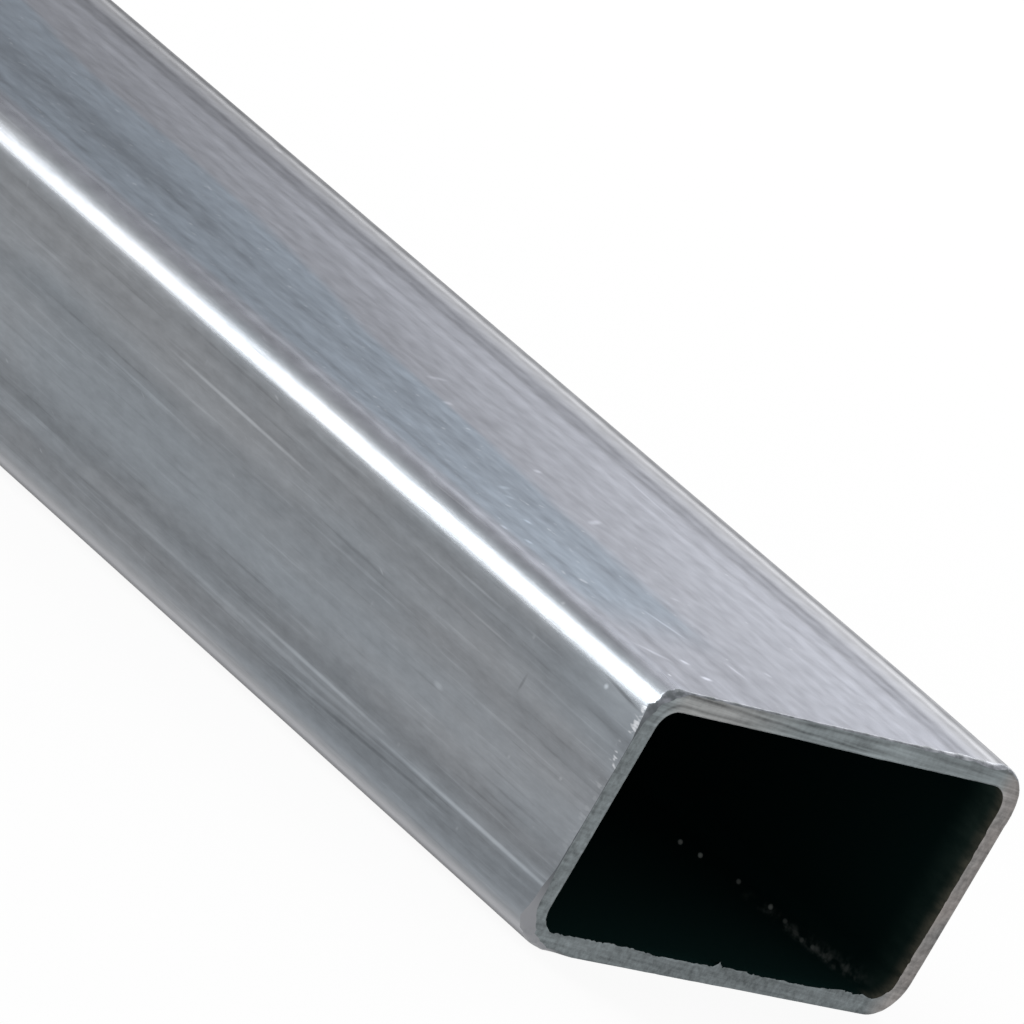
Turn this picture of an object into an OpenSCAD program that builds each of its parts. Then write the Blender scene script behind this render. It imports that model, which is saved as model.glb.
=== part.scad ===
// Rectangular steel tube: strip steel bent to a hollow section with round corners, sawn to length.
// It lies along X on one wide face, and the origin is the middle of its underside.

/* [Section] */
// Outside width, along each wide face
section_width = 40; // [25:1:120]
// Outside height, along each narrow face
section_height = 20; // [15:1:80]
// Thickness of the wall, the same all round
wall = 1.5; // [0.8:0.1:3]
// Inside radius of the four bends
bend_radius = 1.5; // [0.5:0.1:4]

/* [Length] */
// Length that the tube is sawn to
tube_length = 1000; // [100:50:6000]

/* [Sawn ends] */
// Width of the deburred edge round the outside of each end
edge_break = 0.2; // [0.05:0.05:0.5]

/* [Hidden] */
// The wall keeps its thickness round a bend, so the outside radius follows the inside one
corner_radius = bend_radius + wall;
bore_width = section_width - 2 * wall;
bore_height = section_height - 2 * wall;
// How far the cutter that hollows the tube passes each end
bore_overrun = 5;
steel_grey = [0.55, 0.57, 0.60];
$fn = 96;

// Repeats its child at the four corners of a section, on the centres of the corner arcs
module at_corners(width, height, radius) {
    for (side = [-1, 1], level = [-1, 1])
        translate([side * (width / 2 - radius), level * (height / 2 - radius)])
            children();
}

// A rectangle with round corners, centred on the axis of the tube
module rounded_rectangle(width, height, radius) {
    square([width - 2 * radius, height], center = true);
    square([width, height - 2 * radius], center = true);
    at_corners(width, height, radius) circle(radius);
}

// Outline of a bar of the tube's length, seen from the side, with its four end corners cut off by the edge break
module bar_outline(depth) {
    half_depth = depth / 2;
    half_length = tube_length / 2;
    polygon([
        for (end = [1, -1])
            each [
                [end * (half_depth - edge_break), end * half_length],
                [end * half_depth, end * (half_length - edge_break)],
                [end * half_depth, -end * (half_length - edge_break)],
                [end * (half_depth - edge_break), -end * half_length]
            ]
    ]);
}

// A bar with a straight side profile, as wide as asked across the profile
module straight_bar(depth, width) {
    rotate([90, 0, 0])
        linear_extrude(width, center = true)
            bar_outline(depth);
}

// A round bar that fills one corner of the section, with the edge break turned on both ends
module corner_bar() {
    rotate_extrude()
        intersection() {
            bar_outline(2 * corner_radius);
            translate([0, -tube_length / 2])
                square([corner_radius, tube_length]);
        }
}

// The tube before it is hollowed, standing on its axis
module solid_bar() {
    straight_bar(section_width, section_height - 2 * corner_radius);
    rotate([0, 0, 90])
        straight_bar(section_height, section_width - 2 * corner_radius);
    at_corners(section_width, section_height, corner_radius) corner_bar();
}

// The space inside the tube, which passes both ends
module bore() {
    linear_extrude(tube_length + 2 * bore_overrun, center = true)
        rounded_rectangle(bore_width, bore_height, bend_radius);
}

// The whole tube, turned to lie along X with its lower wide face on the floor
module tube() {
    color(steel_grey)
        translate([0, 0, section_height / 2])
            rotate([90, 0, 90])
                difference() {
                    solid_bar();
                    bore();
                }
}

tube();
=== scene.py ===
import math

import bpy
import numpy as np
from mathutils import Matrix, Vector


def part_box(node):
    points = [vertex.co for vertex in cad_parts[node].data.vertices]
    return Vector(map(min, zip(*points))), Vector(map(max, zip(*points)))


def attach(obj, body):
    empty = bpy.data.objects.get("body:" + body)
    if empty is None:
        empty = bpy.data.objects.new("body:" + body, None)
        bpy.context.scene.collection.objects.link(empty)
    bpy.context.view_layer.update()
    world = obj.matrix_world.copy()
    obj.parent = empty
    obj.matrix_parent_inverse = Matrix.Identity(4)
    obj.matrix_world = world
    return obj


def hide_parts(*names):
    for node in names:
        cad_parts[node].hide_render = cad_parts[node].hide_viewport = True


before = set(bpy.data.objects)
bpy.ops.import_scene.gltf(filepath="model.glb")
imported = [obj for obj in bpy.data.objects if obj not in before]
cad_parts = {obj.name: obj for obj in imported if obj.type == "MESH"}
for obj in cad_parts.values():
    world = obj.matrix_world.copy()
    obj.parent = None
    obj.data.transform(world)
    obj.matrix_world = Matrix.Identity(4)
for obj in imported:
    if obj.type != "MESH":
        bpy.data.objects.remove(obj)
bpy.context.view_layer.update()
tubeLow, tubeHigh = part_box("tube")
tubeLength, tubeWidth, tubeHeight = tubeHigh - tubeLow
print("frame loaded: tube of", [round(size, 4) for size in (tubeLength, tubeWidth, tubeHeight)], "m")


# Shader maths as Python: a Wire is one output of a node, and its operators add the nodes that work on it.
class Wire:
    def __init__(self, tree, socket=None):
        self.tree = tree
        self.socket = socket

    # Adds any node: its settings first, then values or wires by socket name. Gives one of its outputs.
    def node(self, kind, settings=None, sockets=None, output=0):
        made = self.tree.nodes.new(kind)
        for name, value in (settings or {}).items():
            setattr(made, name, value)
        for name, value in (sockets or {}).items():
            if isinstance(value, Wire):
                self.tree.links.new(value.socket, made.inputs[name])
            else:
                made.inputs[name].default_value = value
        return Wire(self.tree, made.outputs[output] if made.outputs else None)

    def math(self, operation, *others):
        return self.node("ShaderNodeMath", {"operation": operation}, dict(enumerate((self, *others))))

    def __add__(self, other):
        return self.math("ADD", other)

    def __sub__(self, other):
        return self.math("SUBTRACT", other)

    def __mul__(self, other):
        return self.math("MULTIPLY", other)

    def __rsub__(self, other):
        return (self * -1.0) + other

    def __abs__(self):
        return self.math("ABSOLUTE")

    __radd__ = __add__
    __rmul__ = __mul__

    # The larger of two.
    def most(self, other):
        return self.math("MAXIMUM", other)

    # 0 below low, 1 above high and an S-curve between; with low above high it falls instead.
    def ramp(self, low, high):
        sockets = {"Value": self, "From Min": low, "From Max": high}
        return self.node("ShaderNodeMapRange", {"interpolation_type": "SMOOTHSTEP"}, sockets)

    # The same ramp, up to a strength other than 1.
    def kept(self, low, high, strength):
        return self.ramp(low, high) * strength

    # A bell of height 1 round a middle value, gone at one width to either side.
    def bell(self, middle, width):
        return abs(self - middle).ramp(width, 0.0)

    # Blends two colours by a share. A fixed colour is three numbers.
    def blend(self, first, second):
        colours = {6: first, 7: second}
        for socket, colour in colours.items():
            colours[socket] = colour if isinstance(colour, Wire) else (*colour, 1.0)
        return self.node("ShaderNodeMix", {"data_type": "RGBA"}, {"Factor": self, **colours}, 2)

    # A colour times a tone.
    def toned(self, tone):
        return self.node("ShaderNodeVectorMath", {"operation": "SCALE"}, {0: self, "Scale": tone})


# Gives a new material with a wire to start from, its shader and the point on the piece in metres.
def newFinish(name, **fixed):
    material = bpy.data.materials.new(name)
    material.use_nodes = True
    tree = material.node_tree
    tree.nodes.clear()
    start = Wire(tree)
    sockets = {key.replace("_", " "): value for key, value in fixed.items()}
    shader = start.node("ShaderNodeBsdfPrincipled", {}, sockets)
    start.node("ShaderNodeOutputMaterial", {}, {"Surface": shader})
    place = start.node("ShaderNodeTexCoord", {}, {}, "Object")
    return material, start, shader.socket.node, place


# Leads a wire to a socket of the shader.
def feed(shader, name, wire):
    shader.id_data.links.new(wire.socket, shader.inputs[name])


# Lets a height between 0 and 1 tilt the surface, as if it stood a tenth of a millimetre high.
def emboss(start, shader, strength, height):
    sockets = {"Strength": strength, "Distance": 0.0001, "Height": height}
    feed(shader, "Normal", start.node("ShaderNodeBump", {}, sockets))


# A value that the mesh holds at its points.
def attribute(start, name):
    return start.node("ShaderNodeAttribute", {"attribute_name": name}, {}, "Fac")


# The point on the piece as three wires: along, across and up the tube.
def axes(start, place):
    outputs = start.node("ShaderNodeSeparateXYZ", {}, {"Vector": place}).socket.node.outputs
    return [Wire(start.tree, output) for output in outputs]


# Noise of about 0 to 1 with so many cells to the metre along, across and up, turned about the three axes.
def grain(start, place, cells, detail=2.0, rough=0.5, turn=(0.0, 0.0, 0.0), shift=(0.0, 0.0, 0.0)):
    sizes = tuple(1.0 / count for count in cells)
    sockets = {"Vector": place, "Scale": sizes, "Rotation": turn, "Location": shift}
    spot = start.node("ShaderNodeMapping", {"vector_type": "TEXTURE"}, sockets)
    sockets = {"Vector": spot, "Scale": 1.0, "Detail": detail, "Roughness": rough}
    return start.node("ShaderNodeTexNoise", {}, sockets)


tubeShape = {
    "wall": 0.0015,                              # thickness of the strip
    "bends": (0.0030, 0.0036, 0.0030, 0.0034),   # outside radii: back low and high, front high and low
    "bendPoints": 30,
    "flatStep": 0.0002,        # spacing of points along a clean flat
    "burrStep": 0.0001,        # spacing of points along a burred flat
    # Rows of points: millimetres from either end, degrees round the edge, shares of the wall, and shares of
    # the burr's height and reach
    "skinRows": (2, 3, 5, 8, 12, 18, 26, 36, 50, 70, 95, 130, 180, 250, 340, 430),
    "boreRows": (1, 2, 4, 8, 14, 24, 40, 80, 160, 300),
    "edgeRows": (0, 20, 45, 70),
    "cutRows": (0.0, 0.12, 0.28, 0.42, 0.5, 0.58, 0.72, 0.88),
    "burrRows": ((1.0, 0.0), (1.0, 0.04), (0.75, 0.2), (0.4, 0.5), (0.12, 0.8)),
    "endSeeds": (11, 47),      # for the near and the far end
    # Worn outer edge of the sawn ends
    "edgeBreak": 0.00005,               # its radius
    "topBreak": (0.00010, 0.00022),     # how much more along the top, at its middle and its back
    "topBreakAt": (0.0, 0.0165),        # where these are
    "bendBreak": (0.00034, 0.00090),    # how much more at the upper and the lower front corner
    "cornerReach": (0.0042, 0.0064),    # how far from the sharp corner that begins, upper and lower
    "cornerFull": 0.0014,               # and where it is full
    "edgeWander": 0.6,         # share of it all that varies
    "edgeWave": 0.0012,        # spacing of its longer waves
    "edgeLead": 0.0001,        # strip of skin before it that stays flat
    # Top wall, pushed in by the saw
    "topPush": (0.00003, 0.00024),      # at its front and its back
    "pushReach": 0.016,                 # how far along the tube that fades out
    # Saw burr on the lower and back walls
    "burrLow": -0.00030,       # its lowest, where the wall is chipped
    "burrRange": 0.00036,      # from its lowest to its highest
    "cleanRange": 0.00004,     # the same on the walls where the saw came in
    "burrReach": 0.0005,       # how far it reaches down the bore
    "burrWave": 0.0021,        # spacing of its longer waves
    "waveShare": 0.62,         # their share of its height, the rest is teeth
    "toothWidth": 0.00032,
    "backBurr": 0.55,          # how much of it the back wall has
    "stepAt": 0.0148,          # height on the back wall below which it begins
    "stepBlend": 0.0003,       # and over how much height
    "spikeAt": 0.0003,         # one long tooth, across the lower wall from the middle
    "spikeHalf": 0.0005,       # half the width of its foot
    "spikeHeight": 0.0004,
    "frontLift": 0.00017,               # how much less the lower wall is chipped towards the front
    "liftReach": (0.0080, 0.0140),      # how far in front of the middle that begins and is full
    "frontThin": 0.00006,               # how much thinner the front wall and the front of the top wall are
    "thinReach": (-0.0040, 0.0040),     # how far in front of the top's middle that begins and is full
    "thinRise": 1.5,                    # how fast it sets in round the front bends
    # Marks of the rolls in the skin
    "rollWave": 0.000006,                                    # height of their long waves
    "rollWaves": ((0.0083, 1.0, 0.0), (0.0031, 0.6, 1.0)),   # spacing, share and start of each
    "shoulder": ((0.0130, 0.0158, 0.0166), (0.0, 0.00014, 0.00002)),    # the top's back slope: places, drops
}


# Points round the outside of the section, from the middle of the underside, up the back, over the top and
# down the front: straight runs joined by quarter circles. Gives the places, the outward directions, the
# distance walked, how far into a bend, and the length of the whole way round.
def sectionOutline(shape):
    half, height = tubeWidth / 2, tubeHeight
    lowBack, highBack, highFront, lowFront = shape["bends"]
    fine, plain = shape["burrStep"], shape["flatStep"]
    places, facings, bends = [], [], []

    def run(start, end, facing, step):
        count = max(2, round(math.dist(start, end) / step))
        share = np.arange(count) / count
        places.append(np.outer(1 - share, start) + np.outer(share, end))
        facings.append(np.tile(facing, (count, 1)))
        bends.append(np.zeros(count))

    def turn(centre, radius, startAngle):
        share = np.arange(shape["bendPoints"]) / shape["bendPoints"]
        angle = math.radians(startAngle) + share * math.pi / 2
        facing = np.stack([np.cos(angle), np.sin(angle)], 1)
        places.append(np.array(centre) + radius * facing)
        facings.append(facing)
        bends.append(np.sin(share * math.pi))

    run((0, 0), (half - lowBack, 0), (0, -1), fine)
    turn((half - lowBack, lowBack), lowBack, -90)
    run((half, lowBack), (half, height - highBack), (1, 0), fine)
    turn((half - highBack, height - highBack), highBack, 0)
    run((half - highBack, height), (highFront - half, height), (0, 1), plain)
    turn((highFront - half, height - highFront), highFront, 90)
    run((-half, height - highFront), (-half, lowFront), (-1, 0), plain)
    turn((lowFront - half, lowFront), lowFront, 180)
    run((lowFront - half, 0), (0, 0), (0, -1), fine)
    places, facings, bends = np.concatenate(places), np.concatenate(facings), np.concatenate(bends)
    gaps = np.linalg.norm(np.roll(places, -1, 0) - places, axis=1)
    return places, facings, np.concatenate([[0], np.cumsum(gaps)[:-1]]), bends, gaps.sum()


# A ragged line: heights drawn at uneven spots along a run and joined by straight slopes, so teeth are sharp.
def raggedLine(walked, around, toothWidth, seed):
    dice = np.random.default_rng(seed)
    count = int(around / toothWidth)
    spots = np.sort(dice.uniform(0, around, count))
    heights = dice.uniform(0, 1, count)
    return np.interp(walked, spots, heights, period=around)


# How far the saw burr stands into the bore all round one mouth, in metres: a coarse and a fine ragged line,
# high where the saw came out and almost flat where it came in, and one spike on the lower wall. The lower
# wall is lifted towards its front, and the front wall and the front of the top wall are thinner.
def burrRound(shape, places, facings, walked, around, seed):
    across, up = places.T
    behind, above = np.clip(facings, 0, 1).T
    ahead, below = np.clip(-facings, 0, 1).T
    coarse = raggedLine(walked, around, shape["burrWave"], seed)
    fine = raggedLine(walked, around, shape["toothWidth"], seed + 1)
    teeth = shape["waveShare"] * coarse + (1 - shape["waveShare"]) * fine
    underStep = np.clip((shape["stepAt"] - up) / shape["stepBlend"] + 0.5, 0, 1)
    ragged = np.clip(below + shape["backBurr"] * behind * underStep, 0, 1)
    spread = shape["cleanRange"] + (shape["burrRange"] - shape["cleanRange"]) * ragged
    onLowerFlat = below > 0.99
    spike = np.clip(1 - np.abs(across - shape["spikeAt"]) / shape["spikeHalf"], 0, 1) * onLowerFlat
    lift = below ** 4 * np.interp(-across, shape["liftReach"], (0, 1))
    topFront = above ** 4 * np.interp(-across, shape["thinReach"], (0, 1))
    thin = np.clip(topFront + shape["thinRise"] * ahead, 0, 1)
    burr = shape["burrLow"] * ragged + spread * teeth + shape["spikeHeight"] * spike
    return burr + shape["frontLift"] * lift - shape["frontThin"] * thin


# Marks of the rolls, which run the whole length, and painted light on the bends: middle, half width, tone and
# depth of the groove. Wide faces are measured across from the middle, narrow ones up from the underside,
# bends in degrees.
rollMarksAndLight = {
    "fade": (30, 60),    # slopes between which the marks of a narrow face pass into those of a wide one
    "flat": 89.9,        # slope of a wide face
    "wide": [
        (0.0090, 0.0200, 0.24, 0.0), (0.0106, 0.0010, -0.08, 0.0), (0.0115, 0.0010, -0.40, 0.000012),
        (0.0127, 0.0009, -0.38, 0.000012), (0.0143, 0.0014, 0.18, 0.0), (0.0159, 0.00068, 0.50, 0.0),
        # The entry at 17.3 mm across with tone -0.30 is painted shade that dims where the back bend's
        # highlight begins.
        (0.0164, 0.0005, -0.42, 0.0), (0.0173, 0.0007, -0.30, 0.0), (0.0085, 0.0004, -0.10, 0.000006),
        (0.0084, 0.0013, -0.08, 0.0), (0.0072, 0.0006, 0.06, 0.0), (0.0064, 0.0004, -0.06, 0.000004),
        (0.0050, 0.0024, -0.10, 0.0), (0.0028, 0.0004, -0.06, 0.000004), (-0.0003, 0.0014, 0.11, 0.0),
        (-0.0026, 0.0014, -0.04, 0.0), (-0.0065, 0.0010, -0.06, 0.0), (-0.0091, 0.0026, -0.09, 0.0),
        (-0.0122, 0.0012, -0.05, 0.0), (-0.0135, 0.0009, 0.11, 0.0), (-0.0143, 0.0007, -0.03, 0.000006),
        (-0.0147, 0.0005, -0.05, 0.0), (-0.0163, 0.0006, 0.04, 0.0), (-0.0173, 0.0011, -0.09, 0.0),
    ],
    "narrow": [
        (0.0036, 0.0010, -0.09, 0.000006), (0.0041, 0.0003, -0.10, 0.0), (0.0050, 0.0005, 0.08, 0.0),
        (0.0056, 0.0009, -0.14, 0.0), (0.0067, 0.0005, -0.06, 0.0), (0.0091, 0.0040, 0.29, 0.0),
        (0.0078, 0.0006, 0.06, 0.0), (0.0093, 0.0008, -0.06, 0.0), (0.0104, 0.0003, 0.05, 0.0),
        (0.0124, 0.0012, -0.03, 0.000004), (0.0125, 0.0003, -0.05, 0.0), (0.0134, 0.0004, 0.08, 0.0),
        (0.0140, 0.0007, 0.05, 0.0), (0.0148, 0.0004, 0.06, 0.0), (0.0159, 0.0006, -0.04, 0.000006),
        (0.0162, 0.0004, 0.05, 0.0), (0.0170, 0.0007, -0.14, 0.0),
    ],
    # Upper bends: painted highlight, lighter beside the ridge's highlight and in a line near the top
    "upperBendHighlight": [(78.0, 6.0, 0.14, 0.0), (20.0, 12.0, 0.10, 0.0)],
    # Lower bends: painted light, much lighter, standing in for light off the floor below them
    "lowerBendLight": [
        (50.0, 34.0, 0.95, 0.0), (8.0, 4.0, -0.08, 0.0), (46.0, 13.0, 0.48, 0.0), (24.0, 9.0, 0.16, 0.0),
    ],
}


# Tone and groove depth of the roll marks, and of the painted light on the bends, at each point of the
# section:
# a sum of bells, each a squared cosine. Slope is 0 on narrow faces and 90 on wide ones.
def rollAndLightTones(places, facings, marks):
    slope = np.degrees(np.arcsin(np.clip(np.abs(facings[:, 1]), 0, 1)))
    level = np.interp(slope, marks["fade"], (0, 1))
    bent = slope < marks["flat"]
    tone, groove = np.zeros(len(places)), np.zeros(len(places))
    for key, spot, weight in (
        ("wide", places[:, 0], level),
        ("narrow", places[:, 1], 1 - level),
        ("upperBendHighlight", slope, bent & (facings[:, 1] > 0)),
        ("lowerBendLight", slope, bent & (facings[:, 1] < 0)),
    ):
        for middle, halfWidth, lighter, depth in marks[key]:
            bell = weight * np.cos(np.clip((spot - middle) / halfWidth, -1, 1) * math.pi / 2) ** 2
            tone += lighter * bell
            groove += depth * bell
    return tone, groove


# Bands of the map for baked pictures, from and to, as shares of a side.
bakeBands = {
    "margin": 0.004,
    "skin": (0.004, 0.740),
    "bore": (0.752, 0.878),
    "nearEnd": (0.890, 0.938),
    "farEnd": (0.950, 0.996),
    "endShare": 0.6,     # how much of the length is drawn out towards the ends
    "endPower": 4,       # and how steeply
}


# The map for baked pictures: skin and bore are bands with the length across, more of it for the ends,
# and each sawn end is a band with the way round across. Rows are the loop's, and a face has four corners.
def bakeMap(mesh, skin, bore, endFaces, walked, around, bands):
    girth = np.stack([walked, np.append(walked[1:], around)], 1) / around
    margin, endShare = bands["margin"], bands["endShare"]

    def stretched(along):
        share = np.abs(along) / (tubeLength / 2)
        drawn = (1 - endShare) * share + endShare * share ** bands["endPower"]
        return 0.5 + 0.5 * np.sign(along) * drawn

    def band(steps, name, lengthAcross):
        low, high = bands[name]
        spans = np.stack([steps[:-1], steps[1:]], 1)
        rows, turns = np.broadcast_arrays(spans[:, None, [0, 0, 1, 1]], girth[None, :, [0, 1, 1, 0]])
        first, second = (rows, turns) if lengthAcross else (turns, rows)
        return np.stack([margin + (1 - 2 * margin) * first, low + (high - low) * second], -1).reshape(-1, 2)

    through = np.arange(endFaces + 1) / endFaces
    places = np.concatenate([
        band(stretched(skin), "skin", True),
        band(through, "nearEnd", False),
        band(stretched(bore), "bore", True),
        band(through, "farEnd", False),
    ])
    mesh.uv_layers.new(name="OFBake").uv.foreach_set("vector", places.ravel().astype(np.float32))


# The tube: the section's outline carried round the wall's lengthwise loop, which runs out along the skin to
# the near end, over the worn edge, in across the sawn face, over the burr, back down the bore, and across
# the far end. A point is the outline moved inwards by its depth, so the corner arcs keep their centres and
# the wall is even. Towards both ends the top wall is moved in whole, by a push that grows with the square.
def makeTube(shape):
    places, facings, walked, bends, around = sectionOutline(shape)
    half, wall, count = tubeLength / 2, shape["wall"], len(walked)
    across, up = places.T
    above = np.clip(facings[:, 1], 0, 1)
    skinBack, boreBack = (np.array(shape[name]) / 1000 for name in ("skinRows", "boreRows"))
    skin = np.concatenate([-half + skinBack, half - skinBack[::-1]])
    bore = np.concatenate([half - boreBack, -half + boreBack[::-1]])
    facet = np.radians(shape["edgeRows"])[:, None]
    ring = np.array(shape["cutRows"])[:, None]
    lip, lipBack = np.array(shape["burrRows"]).T[..., None]

    shoulder = np.interp(across, *shape["shoulder"]) * (facings[:, 1] > 0)
    tone, groove = rollAndLightTones(places, facings, rollMarksAndLight)
    wave = np.zeros(count)
    for spacing, share, start in shape["rollWaves"]:
        wave += share * np.sin(walked * 2 * math.pi / spacing + start)
    skinDepth = groove + shoulder - shape["rollWave"] * wave * (1 - bends)

    # One end, from the skin to the bore: rows of how far back from the cut and how deep in the wall.
    def endRows(seed):
        slow = raggedLine(walked, around, shape["edgeWave"], seed + 5)
        quick = raggedLine(walked, around, shape["toothWidth"], seed + 6)
        wander = 1 + shape["edgeWander"] * (2 * slow + (quick - slow) * bends - 1)
        fromCorner = np.hypot(across + tubeWidth / 2, np.minimum(up, tubeHeight - up))
        upperHalf = up > tubeHeight / 2
        reach = np.where(upperHalf, *shape["cornerReach"])
        close = np.clip((reach - fromCorner) / (reach - shape["cornerFull"]), 0, 1)
        corner = np.where(upperHalf, *shape["bendBreak"]) * close ** 2 * (3 - 2 * close)
        topWear = np.interp(across, shape["topBreakAt"], shape["topBreak"]) * above
        edge = (shape["edgeBreak"] + topWear + corner) * wander
        lead = np.stack([edge + shape["edgeLead"], skinDepth])[:, None]
        worn = np.stack([edge * (1 - np.sin(facet)), shoulder + edge * (1 - np.cos(facet))])
        burr = burrRound(shape, places, facings, walked, around, seed)
        edge = edge + shoulder
        cut = np.stack([np.zeros((len(ring), count)), edge + ring * (wall + burr - edge)])
        mouth = np.stack([np.tile(lipBack * shape["burrReach"], (1, count)), wall + burr * lip])
        return np.concatenate([lead, worn, cut, mouth], 1)

    near, far = (endRows(seed) for seed in shape["endSeeds"])
    far = far[:, ::-1]
    near[0], far[0] = half - near[0], far[0] - half
    skinRows = np.stack([np.tile(skin[:, None], (1, count)), np.tile(skinDepth, (len(skin), 1))])
    boreRows = np.stack([np.tile(bore[:, None], (1, count)), np.full((len(bore), count), wall)])
    along, depth = np.concatenate([skinRows, near, boreRows, far], 1)
    loops = len(along)
    pushed = np.interp(across, (-tubeWidth / 2, tubeWidth / 2), shape["topPush"]) * above ** 4
    pushed = pushed * np.clip(1 - (half - np.abs(along)) / shape["pushReach"], 0, 1) ** 2
    points = np.empty((loops, count, 3))
    points[..., 0] = along
    points[..., 1:] = places - facings * (depth + pushed)[..., None]

    # Finishes by row: 0 skin, 1 worn edge, 2 sawn cut, 3 bore. A face between two rows takes the later one.
    endZones = [0, 0] + [1] * (len(facet) - 1) + [2] * (len(ring) + 1) + [3] * (len(lip) - 1)
    zones = np.array([0] * len(skin) + endZones + [3] * len(bore) + endZones[::-1])
    faceZones = np.repeat(np.maximum(zones, np.roll(zones, -1)), count)
    here = np.arange(loops * count).reshape(loops, count)
    after = np.roll(here, -1, 1)
    quads = np.stack([here, after, np.roll(after, -1, 0), np.roll(here, -1, 0)], -1).reshape(-1, 4)
    mesh = bpy.data.meshes.new("steel_tube")
    mesh.from_pydata(points.reshape(-1, 3), [], quads)
    mesh.polygons.foreach_set("material_index", faceZones.astype(np.int32))
    mesh.polygons.foreach_set("use_smooth", np.ones(len(quads), bool))
    for name, value in (("wallDepth", depth / wall), ("bend", bends), ("rollAndLightTone", tone)):
        layer = mesh.attributes.new(name, "FLOAT", "POINT")
        layer.data.foreach_set("value", np.broadcast_to(value, (loops, count)).ravel().astype(np.float32))
    bakeMap(mesh, skin, bore, len(endZones) + 1, walked, around, bakeBands)
    mesh.update()
    print("tube made:", len(quads) * 2, "triangles")
    return mesh


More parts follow.
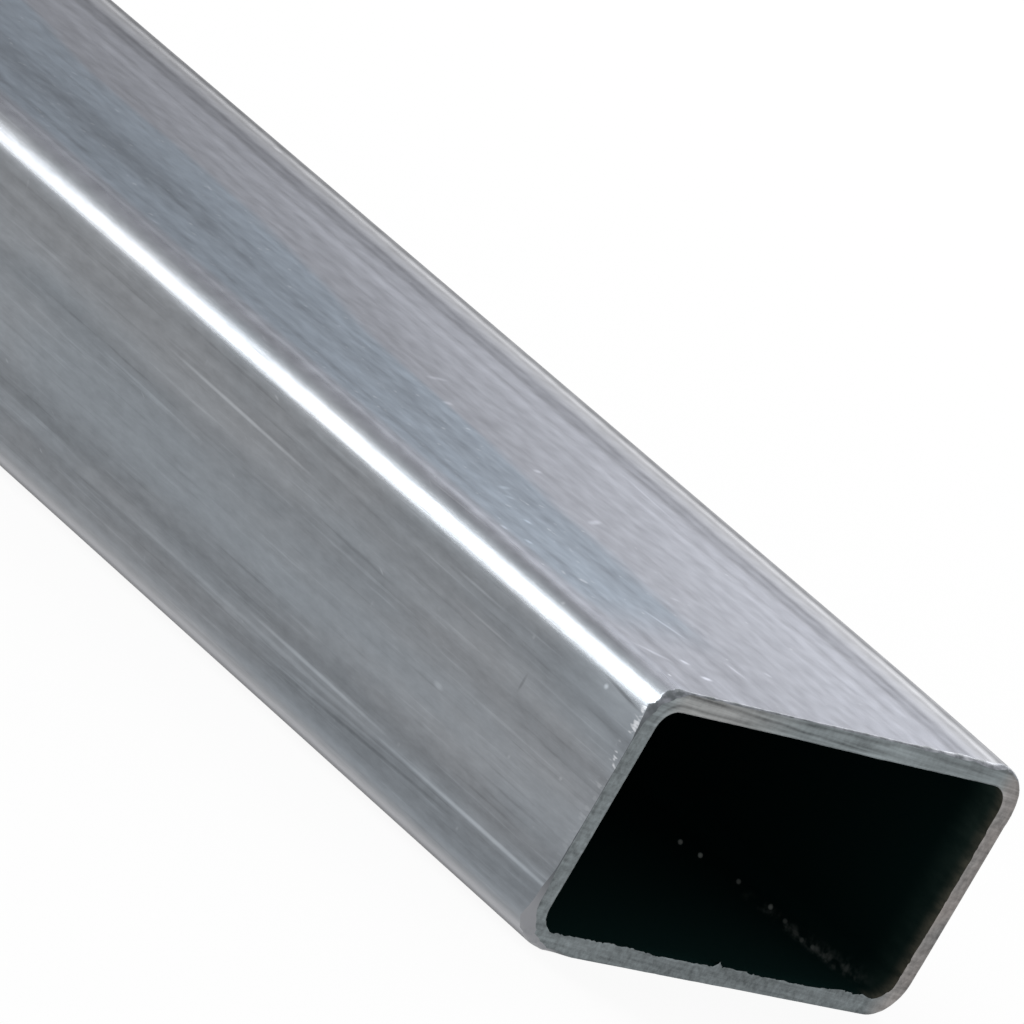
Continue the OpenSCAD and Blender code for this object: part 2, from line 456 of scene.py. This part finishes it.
# Apart from colours, three numbers are a ramp from and to and its strength, and a pair that is named a tone
# is for narrow and wide faces.
skinLook = {
    "steel": (0.222, 0.232, 0.246),
    "dull": (0.203, 0.222, 0.242),          # patches with a film of oil on the narrow faces
    "dullFrom": (-0.16, 0.14),              # in the clouds
    "lilac": (0.224, 0.232, 0.2575),        # the wide faces where they are dry
    "oiled": (0.200, 0.232, 0.270),         # and where oil has spread from the front bend
    "rubbed": (0.229, 0.232, 0.240),        # the strip along their back edge, and the lower bend
    "scuff": (0.62, 0.64, 0.67),            # bright metal in scratches and specks
    "edgeTint": (0.47, 0.47, 0.48, 1.0),    # of what it mirrors at a low angle
    "roughness": 0.31,
    "roughSpread": 0.08,                    # how far that varies on the flats
    "rubbedRough": 0.08,
    "bendGloss": 0.06,                      # how much smoother the upper bends are
    "dashHeight": 0.6,
    "reliefStrength": 0.09,
    # Zones: distance from mid height, place across, height
    "wideFrom": (0.0092, 0.0098),
    "frontFrom": (-0.0185, -0.0197),
    "rubbedBack": (0.0120, 0.0162),
    "rubbedLow": (0.0022, 0.0010),
    "rubbedFront": (-0.0160, -0.0180),
    "glossFrom": (0.0080, 0.0120),
    "noises": {
        "bands": {"cells": (1.2, 330, 330), "shift": (0.31, 0.0, 0.0)},
        "dashes": {"cells": (75, 2700, 2700), "detail": 3.0, "rough": 0.62, "shift": (0.1, 0.0003, 0.0004)},
        "pits": {"cells": (750, 2300, 2300), "rough": 0.6, "shift": (0.0, 0.0002, 0.0003)},
        "mottle": {"cells": (560, 950, 950), "detail": 1.5, "shift": (0.6, 0.0007, 0.0001)},
        "clouds": {"cells": (26, 110, 110), "detail": 3.0, "rough": 0.55, "shift": (0.42, 0.04, 0.01)},
        "glints": {"cells": (1200, 2900, 2900), "detail": 1.0, "shift": (0.9, 0.3, 0.3)},
        "lengthwise": {
            "cells": (38, 2300, 2300), "detail": 1.0, "turn": (0.0, 0.02, 0.03), "shift": (0.3, 0.1, 0.2),
        },
        "slanted": {
            "cells": (80, 2700, 2700), "detail": 1.0, "turn": (0.0, 0.30, -0.28), "shift": (0.5, 0.2, 0.1),
        },
        "crossed": {
            "cells": (230, 1500, 1500), "detail": 1.0, "turn": (0.0, 1.1, 1.25), "shift": (0.7, 0.4, 0.3),
        },
    },
    "bandTone": 0.48,
    "lightDashes": (0.54, 0.80, 0.28),
    "darkDashes": (0.46, 0.20, 0.22),
    "dashTone": (1.0, 0.30),
    "pitTone": (0.38, 0.20),
    "mottleTone": (0.0, 0.62),
    "cloudTone": (0.15, 0.40),
    "oil": {
        "start": -0.0082,            # how far across it has spread at the near end
        "slope": 0.115,              # how much further with each metre along
        "length": 0.10,              # up to here
        "ragged": 0.016,             # by the clouds
        "blend": (-0.0016, 0.0016),
        "begins": (0.006, 0.014),    # from the near end
        "front": (-0.0178, -0.0158),
        "tone": -0.07,
        "moreCrossed": 0.07,         # scratches across that show in it
    },
    # Painted highlight: a lighter patch on the front near the near end, just below its upper bend
    "cornerShine": {"inside": (0.010, 0.001), "height": (0.0172, 0.0018), "tone": 0.42},
    "lengthwiseKept": (0.74, 0.88, 0.22),
    "slantedKept": (0.76, 0.90, 0.26),
    "crossedKept": (0.75, 0.90),
    "crossedTone": (0.10, 0.30),
    "speckCells": 420.0,
    "speckSize": (0.085, 0.020),
    "speckReach": 0.030,             # how far from the ends they are found
    "speckTone": (0.18, 0.43),
    "glintsKept": (0.54, 0.65),
    "glintBand": (0.0004, 0.0007),   # middle and half width of their strip, from the ends
    "glintHeights": ((0.0115, 0.0145, 0.90), (0.0040, 0.0090, 0.10)),
    # A scratch is a long thin ellipsoid: half its length as a share of the way from tip to tip, how far it
    # stands off its face, so that it holds on worn stretches, and the share of its width at full strength
    "scratchForm": {"halfShare": 0.55, "reach": 0.0012, "core": 0.15},
    # Scratches near the end that the photograph shows: from and to, each as distance from the end and height
    # on the front or place across the top, then half width and tone
    "frontScratches": [
        (-0.0060, 0.00455, 0.0190, 0.00455, 0.00022, 0.66), (0.0080, 0.0045, 0.0540, 0.0045, 0.00022, 0.20),
        (0.0160, 0.0050, 0.0350, 0.0051, 0.00020, 0.50),
        (0.0320, 0.0150, 0.0520, 0.0152, 0.00018, 0.55), (0.0130, 0.0168, 0.0210, 0.0168, 0.00014, 0.30),
        (0.0450, 0.0118, 0.0570, 0.0120, 0.00014, 0.24), (0.0101, 0.0131, 0.0101, 0.0147, 0.00018, -0.30),
        (0.0154, 0.0099, 0.0166, 0.0100, 0.00028, 0.42), (0.0038, 0.0174, 0.0043, 0.0175, 0.00026, 1.00),
        (0.0000, 0.0176, 0.0050, 0.0180, 0.00018, -0.55), (0.0000, 0.0149, 0.0060, 0.0149, 0.00070, 0.24),
        (0.0320, 0.0033, 0.0060, 0.0040, 0.00018, -0.24), (0.0300, 0.0037, 0.0150, 0.0042, 0.00018, 0.24),
    ],
    "topScratchesAndSheen": [
        (0.0124, -0.0107, 0.0081, -0.0089, 0.00030, 0.45), (0.0062, -0.0172, 0.0044, -0.0146, 0.00036, 0.45),
        (0.0051, -0.0135, 0.0046, -0.0126, 0.00036, 0.75), (0.0030, -0.0133, 0.0029, -0.0120, 0.00036, 1.00),
        (0.0065, -0.0075, 0.0042, -0.0070, 0.00030, 0.40), (0.0062, -0.0036, 0.0056, -0.0030, 0.00032, 0.40),
        (0.0151, -0.0047, 0.0149, -0.0036, 0.00032, 0.30), (0.0440, -0.0030, 0.0444, 0.0002, 0.00036, 0.40),
        (0.0400, -0.0048, 0.0403, -0.0033, 0.00036, 0.50), (0.0316, -0.0031, 0.0319, -0.0019, 0.00036, 0.60),
        (0.0272, -0.0111, 0.0277, -0.0090, 0.00032, 0.35), (0.0260, -0.0116, 0.0259, -0.0103, 0.00032, 0.35),
        (0.0228, -0.0126, 0.0221, -0.0122, 0.00036, 0.60), (0.0209, -0.0165, 0.0202, -0.0168, 0.00040, 0.60),
        (0.0194, -0.0157, 0.0187, -0.0153, 0.00040, 0.60), (0.0246, -0.0041, 0.0256, -0.0016, 0.00036, 0.50),
        (0.0270, 0.0092, 0.0360, 0.0097, 0.00022, 0.35), (0.0806, 0.0156, 0.0818, 0.0158, 0.00040, 0.60),
        # The last is no scratch but a painted highlight on the upper front bend at the near end
        (-0.0080, -0.0187, 0.0080, -0.0187, 0.00080, 0.60),
    ],
}


# One straight scratch on its face, which also draws the one painted highlight of the top's list: the distance
# from its middle, counted in its own half lengths and half widths, turned into 1 at the core and 0 at the
# rim.
def scratchAndSheen(start, place, onTop, ends, halfWidth, form):
    x1, level1, x2, level2 = ends
    along, level = tubeLength / 2 - (x1 + x2) / 2, (level1 + level2) / 2
    right, up = x1 - x2, level2 - level1
    halfLength, reach = math.hypot(right, up) * form["halfShare"], form["reach"]
    sockets = {"Vector": place}
    if onTop:
        sockets["Location"] = (along, level, tubeHeight)
        sockets["Rotation"] = (0.0, 0.0, math.atan2(up, right))
        sockets["Scale"] = (halfLength, halfWidth, reach)
    else:
        sockets["Location"] = (along, -tubeWidth / 2, level)
        sockets["Rotation"] = (0.0, math.atan2(-up, right), 0.0)
        sockets["Scale"] = (halfLength, reach, halfWidth)
    spot = start.node("ShaderNodeMapping", {"vector_type": "TEXTURE"}, sockets)
    distance = start.node("ShaderNodeVectorMath", {"operation": "LENGTH"}, {0: spot}, "Value")
    return distance.ramp(1.0, form["core"])


# Cold-rolled skin: grey steel with marks of the rolls, short soft lines along it, stains, scratches and
# specks. Its colour is a steel, chosen by zone, times a tone that is 1 and a sum of noises, marks and painted
# light: lighter bends and a painted highlight below the upper front bend near the end.
def makeSkin(look):
    material, start, shader, place = newFinish("drawn_skin", Metallic=1.0, Specular_Tint=look["edgeTint"])
    rollAndLight, bend = attribute(start, "rollAndLightTone"), attribute(start, "bend")
    along, across, height = axes(start, place)
    inside = tubeLength / 2 - along            # from the near end
    fromEnd = tubeLength / 2 - abs(along)      # from either
    noises = {name: grain(start, place, **settings) for name, settings in look["noises"].items()}
    bands, pits, mottle, clouds = (noises[name] - 0.5 for name in ("bands", "pits", "mottle", "clouds"))
    dashes = noises["dashes"]
    wide = abs(height - tubeHeight / 2).ramp(*look["wideFrom"])
    front = across.ramp(*look["frontFrom"])

    def byFace(narrowStrength, wideStrength):
        return wide * (wideStrength - narrowStrength) + narrowStrength

    spill = look["oil"]
    oilEdge = inside.math("MINIMUM", spill["length"]) * spill["slope"] + spill["start"]
    oil = (oilEdge + clouds * spill["ragged"] - across).ramp(*spill["blend"])
    oil = oil * inside.ramp(*spill["begins"]) * across.ramp(*spill["front"])
    lines = dashes.kept(*look["lightDashes"]) - dashes.kept(*look["darkDashes"])
    tone = bands * look["bandTone"] + lines * byFace(*look["dashTone"]) + pits * byFace(*look["pitTone"])
    tone = tone + mottle * byFace(*look["mottleTone"]) + clouds * byFace(*look["cloudTone"])
    # The roll tone also holds the painted light on the bends.
    tone = tone + oil * wide * spill["tone"] + rollAndLight + 1.0
    # Painted highlight on the front, just below its upper bend near the near end.
    shine = look["cornerShine"]
    tone = tone + inside.ramp(*shine["inside"]) * height.bell(*shine["height"]) * front * shine["tone"]
    for onTop, key in ((False, "frontScratches"), (True, "topScratchesAndSheen")):
        for *ends, halfWidth, lighter in look[key]:
            tone = tone + scratchAndSheen(start, place, onTop, ends, halfWidth, look["scratchForm"]) * lighter

    # Finer scratches are streaks of a turned noise, kept where it is strongest: along, slanting and across.
    lengthwise = noises["lengthwise"].kept(*look["lengthwiseKept"])
    slanted = noises["slanted"].kept(*look["slantedKept"])
    crossed = (noises["crossed"] + oil * wide * spill["moreCrossed"]).ramp(*look["crossedKept"])
    specks = start.node("ShaderNodeTexVoronoi", {}, {"Vector": place, "Scale": look["speckCells"]})
    specks = specks.ramp(*look["speckSize"]) * fromEnd.ramp(look["speckReach"], 0.0)
    upper, lower = (height.kept(*zone) for zone in look["glintHeights"])
    glints = noises["glints"].ramp(*look["glintsKept"]) * fromEnd.bell(*look["glintBand"]) * front
    scuff = lengthwise.most(slanted).most(crossed * byFace(*look["crossedTone"]))
    scuff = scuff.most(specks * byFace(*look["speckTone"])).most(glints * (upper + lower))

    narrowSteel = clouds.ramp(*look["dullFrom"]).blend(look["dull"], look["steel"])
    wideSteel = oil.blend(look["lilac"], look["oiled"])
    lowBend = height.ramp(*look["rubbedLow"]) * across.ramp(*look["rubbedFront"])
    rubbed = (across.ramp(*look["rubbedBack"]) * wide).most(lowBend)
    steel = rubbed.blend(wide.blend(narrowSteel, wideSteel), look["rubbed"])
    feed(shader, "Base Color", scuff.blend(steel.toned(tone), look["scuff"]))
    glossy = bend * height.ramp(*look["glossFrom"])
    uneven = (dashes + clouds - 0.5) * look["roughSpread"] * (1.0 - bend)
    rough = uneven - glossy * look["bendGloss"] + rubbed * look["rubbedRough"] + look["roughness"]
    feed(shader, "Roughness", rough)
    emboss(start, shader, look["reliefStrength"], dashes * look["dashHeight"] * (1.0 - wide))
    return material


# Apart from colours, three numbers are a ramp from and to and its strength.
cutLook = {
    "steel": (0.192, 0.216, 0.224),
    "warm": (0.262, 0.238, 0.226),      # film of rust on the back wall
    "warmFrom": (0.0165, 0.0186),
    "warmShare": 0.75,
    "edgeTint": (0.7, 0.7, 0.7, 1.0),
    "roughness": 0.5,
    "roughSpread": 0.25,
    "mottleHeight": 0.4,
    "sawHeight": 0.6,
    "reliefStrength": 0.35,
    "mottle": {"cells": (1900, 1900, 1900), "detail": 3.0, "rough": 0.7},
    "sawLines": {
        "cells": (200, 110, 2600), "detail": 3.0, "rough": 0.6,
        "turn": (-0.05, 0.0, 0.0), "shift": (0.1, 0.2, 0.0),
    },
    "patches": {"cells": (300, 260, 260), "shift": (0.4, 0.4, 0.1)},
    "mottleTone": 1.5,
    "mottleUpper": -0.6,                # how much less on the top wall
    "sawTone": 0.7,
    "sawUpper": 1.1,                    # how much more on the top wall
    "sawLower": 0.5,                    # and on the lower wall
    "patchTone": 0.5,
    # Top and lower wall by height, and their tones
    "upperFrom": (0.0155, 0.0185),
    "upperTone": 0.15,
    "lowerFrom": (0.0042, 0.0012),
    "lowerTone": -0.11,
    "cornerTone": (0.010, 0.016, 0.22),      # lower back corner
    # Rims: middle and half width as shares of the wall, from the skin
    "innerRim": (0.95, 0.22),
    "innerTone": 0.22,
    "innerFront": (0.004, -0.004, 0.14),     # how much more on the front of the top wall
    "outerRim": (0.16, 0.18),
    "outerTone": -0.16,
    # Where the saw came in, at the front of the top wall: both ends across
    "entry": ((-0.003, -0.013), (-0.0190, -0.0168)),
    "entryTone": 0.12,
    "entryWarm": 0.4,
    # Slanting lines of the saw on the top wall: share of the wall at mid width, shift to the metre across,
    # from, to and tone
    "slants": [
        (0.725, 36.5, -0.0175, 0.0030, -0.46), (1.006, 20.0, -0.0190, -0.0095, -0.40),
        (0.227, 16.0, -0.0045, 0.0045, -0.34), (0.879, 30.0, -0.0180, -0.0115, 0.36),
    ],
    "slantWidth": 0.13,
    "slantEnds": 0.001,                 # how far they fade at either end
    "slantWander": 0.10,                # how far they stray with the patches
}


# Sawn steel: matt and mottled, with saw lines across the tube and a few slanting ones on the top wall. It is
# lighter on the top wall and along its inner edge, darker on the lower wall and warm on the back wall. Its
# colour is that steel times a tone that is 1 and a sum of noises, rims and lines.
def makeCut(look):
    material, start, shader, place = newFinish("sawn_end", Metallic=1.0, Specular_Tint=look["edgeTint"])
    depth, bend = attribute(start, "wallDepth"), attribute(start, "bend")
    across, height = axes(start, place)[1:]
    noises = (grain(start, place, **look[name]) - 0.5 for name in ("mottle", "sawLines", "patches"))
    mottle, sawLines, patches = noises
    upper, lower = height.ramp(*look["upperFrom"]), height.ramp(*look["lowerFrom"])
    entryFrom, entryTo = look["entry"]
    entry = upper * across.ramp(*entryFrom) * across.ramp(*entryTo)
    inner = depth.bell(*look["innerRim"]) * (upper * across.kept(*look["innerFront"]) + look["innerTone"])
    rims = inner + depth.bell(*look["outerRim"]) * look["outerTone"] + entry * look["entryTone"]
    flats = upper * look["upperTone"] + lower * (1.0 - bend) * look["lowerTone"]
    corner = lower * bend * across.kept(*look["cornerTone"])
    mottleShare = upper * look["mottleUpper"] + look["mottleTone"]
    sawShare = upper * look["sawUpper"] + lower * look["sawLower"] + look["sawTone"]
    tone = mottle * mottleShare + sawLines * sawShare + patches * look["patchTone"]
    tone = tone + rims * (1.0 - lower) + flats + corner + 1.0
    fade = look["slantEnds"]
    for share, shift, fromPlace, toPlace, lighter in look["slants"]:
        reach = across.ramp(fromPlace - fade, fromPlace + fade) * across.ramp(toPlace + fade, toPlace - fade)
        line = (depth - across * shift + patches * look["slantWander"]).bell(share, look["slantWidth"])
        tone = tone + line * reach * upper * lighter
    warm = across.ramp(*look["warmFrom"]) * (patches + look["warmShare"]) + entry * look["entryWarm"]
    feed(shader, "Base Color", warm.blend(look["steel"], look["warm"]).toned(tone))
    feed(shader, "Roughness", mottle * look["roughSpread"] + look["roughness"])
    relief = mottle * look["mottleHeight"] + sawLines * look["sawHeight"]
    emboss(start, shader, look["reliefStrength"], relief)
    return material


# Pairs are ramps from and to: of the noise, of the height or of the place across.
edgeLook = {
    "grime": (0.106, 0.116, 0.124),
    "worn": (0.235, 0.245, 0.272),
    "rubbed": (0.265, 0.270, 0.286),    # the lower front corner
    "bright": (0.60, 0.62, 0.65),
    "roughness": 0.4,
    "flecks": {"cells": (1200, 700, 1200), "detail": 3.0, "rough": 0.6},
    "aboveFrom": (0.0165, 0.0197),
    "wornKept": (0.34, 0.62),
    "rubbedLow": (0.0064, 0.0024),
    "rubbedFront": (-0.0150, -0.0170),
    "nicksKept": (0.58, 0.84),
    "nicksFrom": (-0.010, 0.004, 0.35),     # and their strength
    "moreNicks": (-0.004, 0.012, 0.10),     # and how much is added to the noise
}


# Worn edge: dark with grime, flecked with bare steel along the top, with a few bright nicks towards its back.
# Flecks and nicks are the parts of one noise beyond a limit.
def makeEdge(look):
    material, start, shader, place = newFinish("worn_edge", Metallic=1.0, Roughness=look["roughness"])
    across, height = axes(start, place)[1:]
    flecks = grain(start, place, **look["flecks"])
    above = height.ramp(*look["aboveFrom"])
    bare = (flecks.ramp(*look["wornKept"]) * above).blend(look["grime"], look["worn"])
    corner = height.ramp(*look["rubbedLow"]) * across.ramp(*look["rubbedFront"])
    bare = corner.blend(bare, look["rubbed"])
    nicks = (flecks + across.kept(*look["moreNicks"])).ramp(*look["nicksKept"])
    nicks = nicks * above * across.kept(*look["nicksFrom"])
    feed(shader, "Base Color", nicks.blend(bare, look["bright"]))
    return material


# Pairs are ramps from and to. Apart from colours, three numbers are a ramp and its strength.
boreLook = {
    # Near black: its oil and scale, and painted shade for the dim inside of the tube
    "black": (0.0024, 0.0105, 0.0098),
    "dusty": (0.025, 0.042, 0.036),    # the back wall towards the mouth
    "brown": (0.120, 0.110, 0.085),    # rust just inside the back of the mouth
    "bead": (0.80, 0.86, 0.82),
    "roughness": 0.9,
    "mirror": 0.02,                    # how much it mirrors
    "streaks": {"cells": (600, 1500, 1500), "detail": 3.0, "rough": 0.6, "shift": (0.2, 0.2, 0.2)},
    "rust": {
        "inside": (0.0011, -0.0004), "across": (0.0150, 0.0182), "streaks": (0.32, 0.66, 0.6), "plain": 0.4,
    },
    "dust": {
        "inside": (0.0036, 0.0002), "across": (0.0165, 0.0182), "height": (0.006, 0.018, 0.55), "least": 0.45,
        "streaks": (0.25, 0.75, 0.6), "plain": 0.6,
    },
    "floorBelow": (0.0026, 0.0018),    # height of the lower wall, which has the beads and the smear
    # Smear of dust: where it starts across, how far it drifts with each metre inwards, its rim and its ends
    "smear": {
        "start": 0.0172, "drift": 0.14, "rim": (0.0019, 0.0002), "mouth": (0.0002, 0.0050),
        "inside": (0.0150, 0.0060, 0.15), "kept": (0.40, 0.80),
        "noise": {"cells": (380, 1500, 1500), "rough": 0.6},
    },
    "beadSize": 0.22,                  # half width in millimetres
    "beadLength": 4.0,                 # how much longer than wide they lie
    "beadTurn": 51.4,                  # in degrees, from along the tube towards its back
    # Beads of spatter on the lower wall: distance from the mouth and place across in millimetres, strength
    "beads": [
        (18.5, 14.4, 0.56), (17.0, 15.1, 0.70), (14.0, 16.3, 0.28), (10.9, 16.7, 0.40), (9.1, 16.5, 0.14),
        (6.6, 15.8, 0.12), (5.8, 16.2, 0.16), (3.3, 17.3, 0.08),
    ],
}


# Bore: near black, for its oil and scale and as painted shade for the dim inside of the tube; dusty on the
# back wall and brown at the back of the mouth, with a row of pale beads and a smear of dust that run in from
# the lower back corner of each mouth. A bead is an ellipse: the squares of the distances along it and off it,
# in millimetres, against the square of its half width.
def makeBore(look):
    material, start, shader, place = newFinish(
        "dark_bore", Roughness=look["roughness"], Specular_IOR_Level=look["mirror"],
    )
    along, across, height = axes(start, place)
    inside = tubeLength / 2 - abs(along)
    turn, length = math.radians(look["beadTurn"]), look["beadLength"]
    run = (inside * math.cos(turn) + across * math.sin(turn)) * (1000.0 / length)
    off = (inside * math.sin(turn) - across * math.cos(turn)) * 1000.0
    smear = look["smear"]
    grit = grain(start, place, turn=(0.0, 0.0, math.pi - turn), **smear["noise"]).ramp(*smear["kept"])
    strip = abs(across + inside * smear["drift"] - smear["start"]).ramp(*smear["rim"])
    pale = grit * strip * inside.kept(*smear["inside"]) * inside.ramp(*smear["mouth"])
    for depth, aside, strength in look["beads"]:
        runOff = run - (depth * math.cos(turn) + aside * math.sin(turn)) / length
        sideOff = off - (depth * math.sin(turn) - aside * math.cos(turn))
        spot = (runOff * runOff + sideOff * sideOff).kept(look["beadSize"] ** 2, 0.0, strength)
        pale = pale.most(spot)
    pale = pale * height.ramp(*look["floorBelow"])
    streaks = grain(start, place, **look["streaks"])
    rust, dust = look["rust"], look["dust"]
    rusty = inside.ramp(*rust["inside"]) * across.ramp(*rust["across"])
    rusty = rusty * (streaks.kept(*rust["streaks"]) + rust["plain"])
    dusty = inside.ramp(*dust["inside"]) * across.ramp(*dust["across"])
    dusty = dusty * (height.kept(*dust["height"]) + dust["least"])
    dusty = dusty * (streaks.kept(*dust["streaks"]) + dust["plain"])
    dark = rusty.blend(dusty.blend(look["black"], look["dusty"]), look["brown"])
    feed(shader, "Base Color", pale.blend(dark, look["bead"]))
    return material


tube = bpy.data.objects.new("steel_tube", makeTube(tubeShape))
bpy.context.scene.collection.objects.link(tube)
for finish in (makeSkin(skinLook), makeEdge(edgeLook), makeCut(cutLook), makeBore(boreLook)):
    tube.data.materials.append(finish)
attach(tube, "root")
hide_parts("tube")
print("tube dressed:", [slot.name for slot in tube.material_slots])


studio = {
    "floorHalf": 60.0,
    "floorColour": (0.86, 0.86, 0.86, 1.0),
    "glow": 0.93,          # share of plain white in the floor as it is seen, the rest takes the shadow
    "ambient": 0.62,       # light from all round on what isn't a mirror
    "aimBack": 0.05,       # the lamps aim at mid height, so far behind the near end
    # Each lamp: the way to it from there, its size, the turn of its long side and its light
    "lamps": {
        "ridgeLamp": {
            "shape": "ELLIPSE", "towards": (-0.536, -0.441, 0.720), "distance": 1.21,
            "across": 0.206, "along": 1.261, "spin": 68.6, "radiance": 9.9, "colour": (1.0, 1.0, 1.0),
        },
        "backLamp": {
            "shape": "RECTANGLE", "towards": (-0.357, 0.750, 0.557), "distance": 0.596,
            "across": 0.673, "along": 0.350, "spin": 1.8, "radiance": 1.87, "colour": (1.0, 1.0, 1.0),
        },
    },
}


# 1 for rays that see the background: straight from the camera, off metal or through glass.
def seeingRays(start):
    path = start.node("ShaderNodeLightPath").socket.node.outputs
    kinds = ("Is Camera Ray", "Is Glossy Ray", "Is Transmission Ray")
    seen, mirrored, through = (Wire(start.tree, path[name]) for name in kinds)
    return seen.most(mirrored).most(through)


# White studio: a pale floor, even light all round and soft lamps. Power is radiance times pi times area.
def makeStudio(setup):
    scene = bpy.context.scene
    half = setup["floorHalf"]
    corners = [(-half, -half, 0), (half, -half, 0), (half, half, 0), (-half, half, 0)]
    floorMesh = bpy.data.meshes.new("studio_floor")
    floorMesh.from_pydata(corners, [], [(0, 1, 2, 3)])
    floor = bpy.data.objects.new("studio_floor", floorMesh)
    scene.collection.objects.link(floor)
    paint = bpy.data.materials.new("pale_floor")
    paint.use_nodes = True
    paint.node_tree.nodes.clear()
    start = Wire(paint.node_tree)
    lit = start.node("ShaderNodeBsdfDiffuse", {}, {"Color": setup["floorColour"]})
    white = start.node("ShaderNodeEmission", {}, {"Strength": 1.0})
    share = seeingRays(start) * setup["glow"]
    mixed = start.node("ShaderNodeMixShader", {}, {0: share, 1: lit, 2: white})
    start.node("ShaderNodeOutputMaterial", {}, {"Surface": mixed})
    floorMesh.materials.append(paint)

    world = bpy.data.worlds.new("studio_light")
    scene.world = world
    world.use_nodes = True
    world.node_tree.nodes.clear()
    sky = Wire(world.node_tree)
    strength = seeingRays(sky) * (1.0 - setup["ambient"]) + setup["ambient"]
    back = sky.node("ShaderNodeBackground", {}, {"Color": (1.0, 1.0, 1.0, 1.0), "Strength": strength})
    sky.node("ShaderNodeOutputWorld", {}, {"Surface": back})

    aim = Vector((tubeHigh.x - setup["aimBack"], 0.0, tubeHeight / 2))
    for name, bulb in setup["lamps"].items():
        lamp = bpy.data.lights.new(name, "AREA")
        lamp.shape, lamp.color = bulb["shape"], bulb["colour"]
        lamp.size, lamp.size_y = bulb["along"], bulb["across"]
        filled = math.pi / 4 if bulb["shape"] == "ELLIPSE" else 1.0
        lamp.energy = bulb["radiance"] * math.pi * bulb["across"] * bulb["along"] * filled
        holder = bpy.data.objects.new(name, lamp)
        facing = Vector(bulb["towards"]).normalized()
        side = (Vector((1, 0, 0)) - facing * facing.x).normalized()
        turned = Matrix((side, facing.cross(side), facing)).transposed().to_4x4()
        turned = turned @ Matrix.Rotation(math.radians(bulb["spin"]), 4, "Z")
        holder.matrix_world = Matrix.Translation(aim + facing * bulb["distance"]) @ turned
        holder.visible_camera = False
        scene.collection.objects.link(holder)
    scene.view_settings.view_transform = "Standard"
    print("studio lit:", list(setup["lamps"]))


viewpoint = {
    "fromNearEnd": (0.43846, -0.59109, 0.20175),   # from the foot of the near end
    "azimuth": 38.63,
    "elevation": 13.80,
    "roll": 30.08,
    "lens": 407.9,
    "sensor": 36.0,
    "clip": (0.01, 200.0),
}


# Camera of the photograph: turned about the upright axis, tipped down and rolled about its own axis.
def makeCamera(view):
    camera = bpy.data.cameras.new("photo_camera")
    camera.lens, camera.sensor_width = view["lens"], view["sensor"]
    camera.clip_start, camera.clip_end = view["clip"]
    holder = bpy.data.objects.new("photo_camera", camera)
    turned = (
        Matrix.Rotation(math.radians(view["azimuth"]), 4, "Z")
        @ Matrix.Rotation(math.radians(90 - view["elevation"]), 4, "X")
        @ Matrix.Rotation(math.radians(view["roll"]), 4, "Z")
    )
    nearEnd = Vector((tubeHigh.x, 0.0, tubeLow.z))
    holder.matrix_world = Matrix.Translation(nearEnd + Vector(view["fromNearEnd"])) @ turned
    bpy.context.scene.collection.objects.link(holder)
    bpy.context.scene.camera = holder
    print("camera set")


makeStudio(studio)
makeCamera(viewpoint)
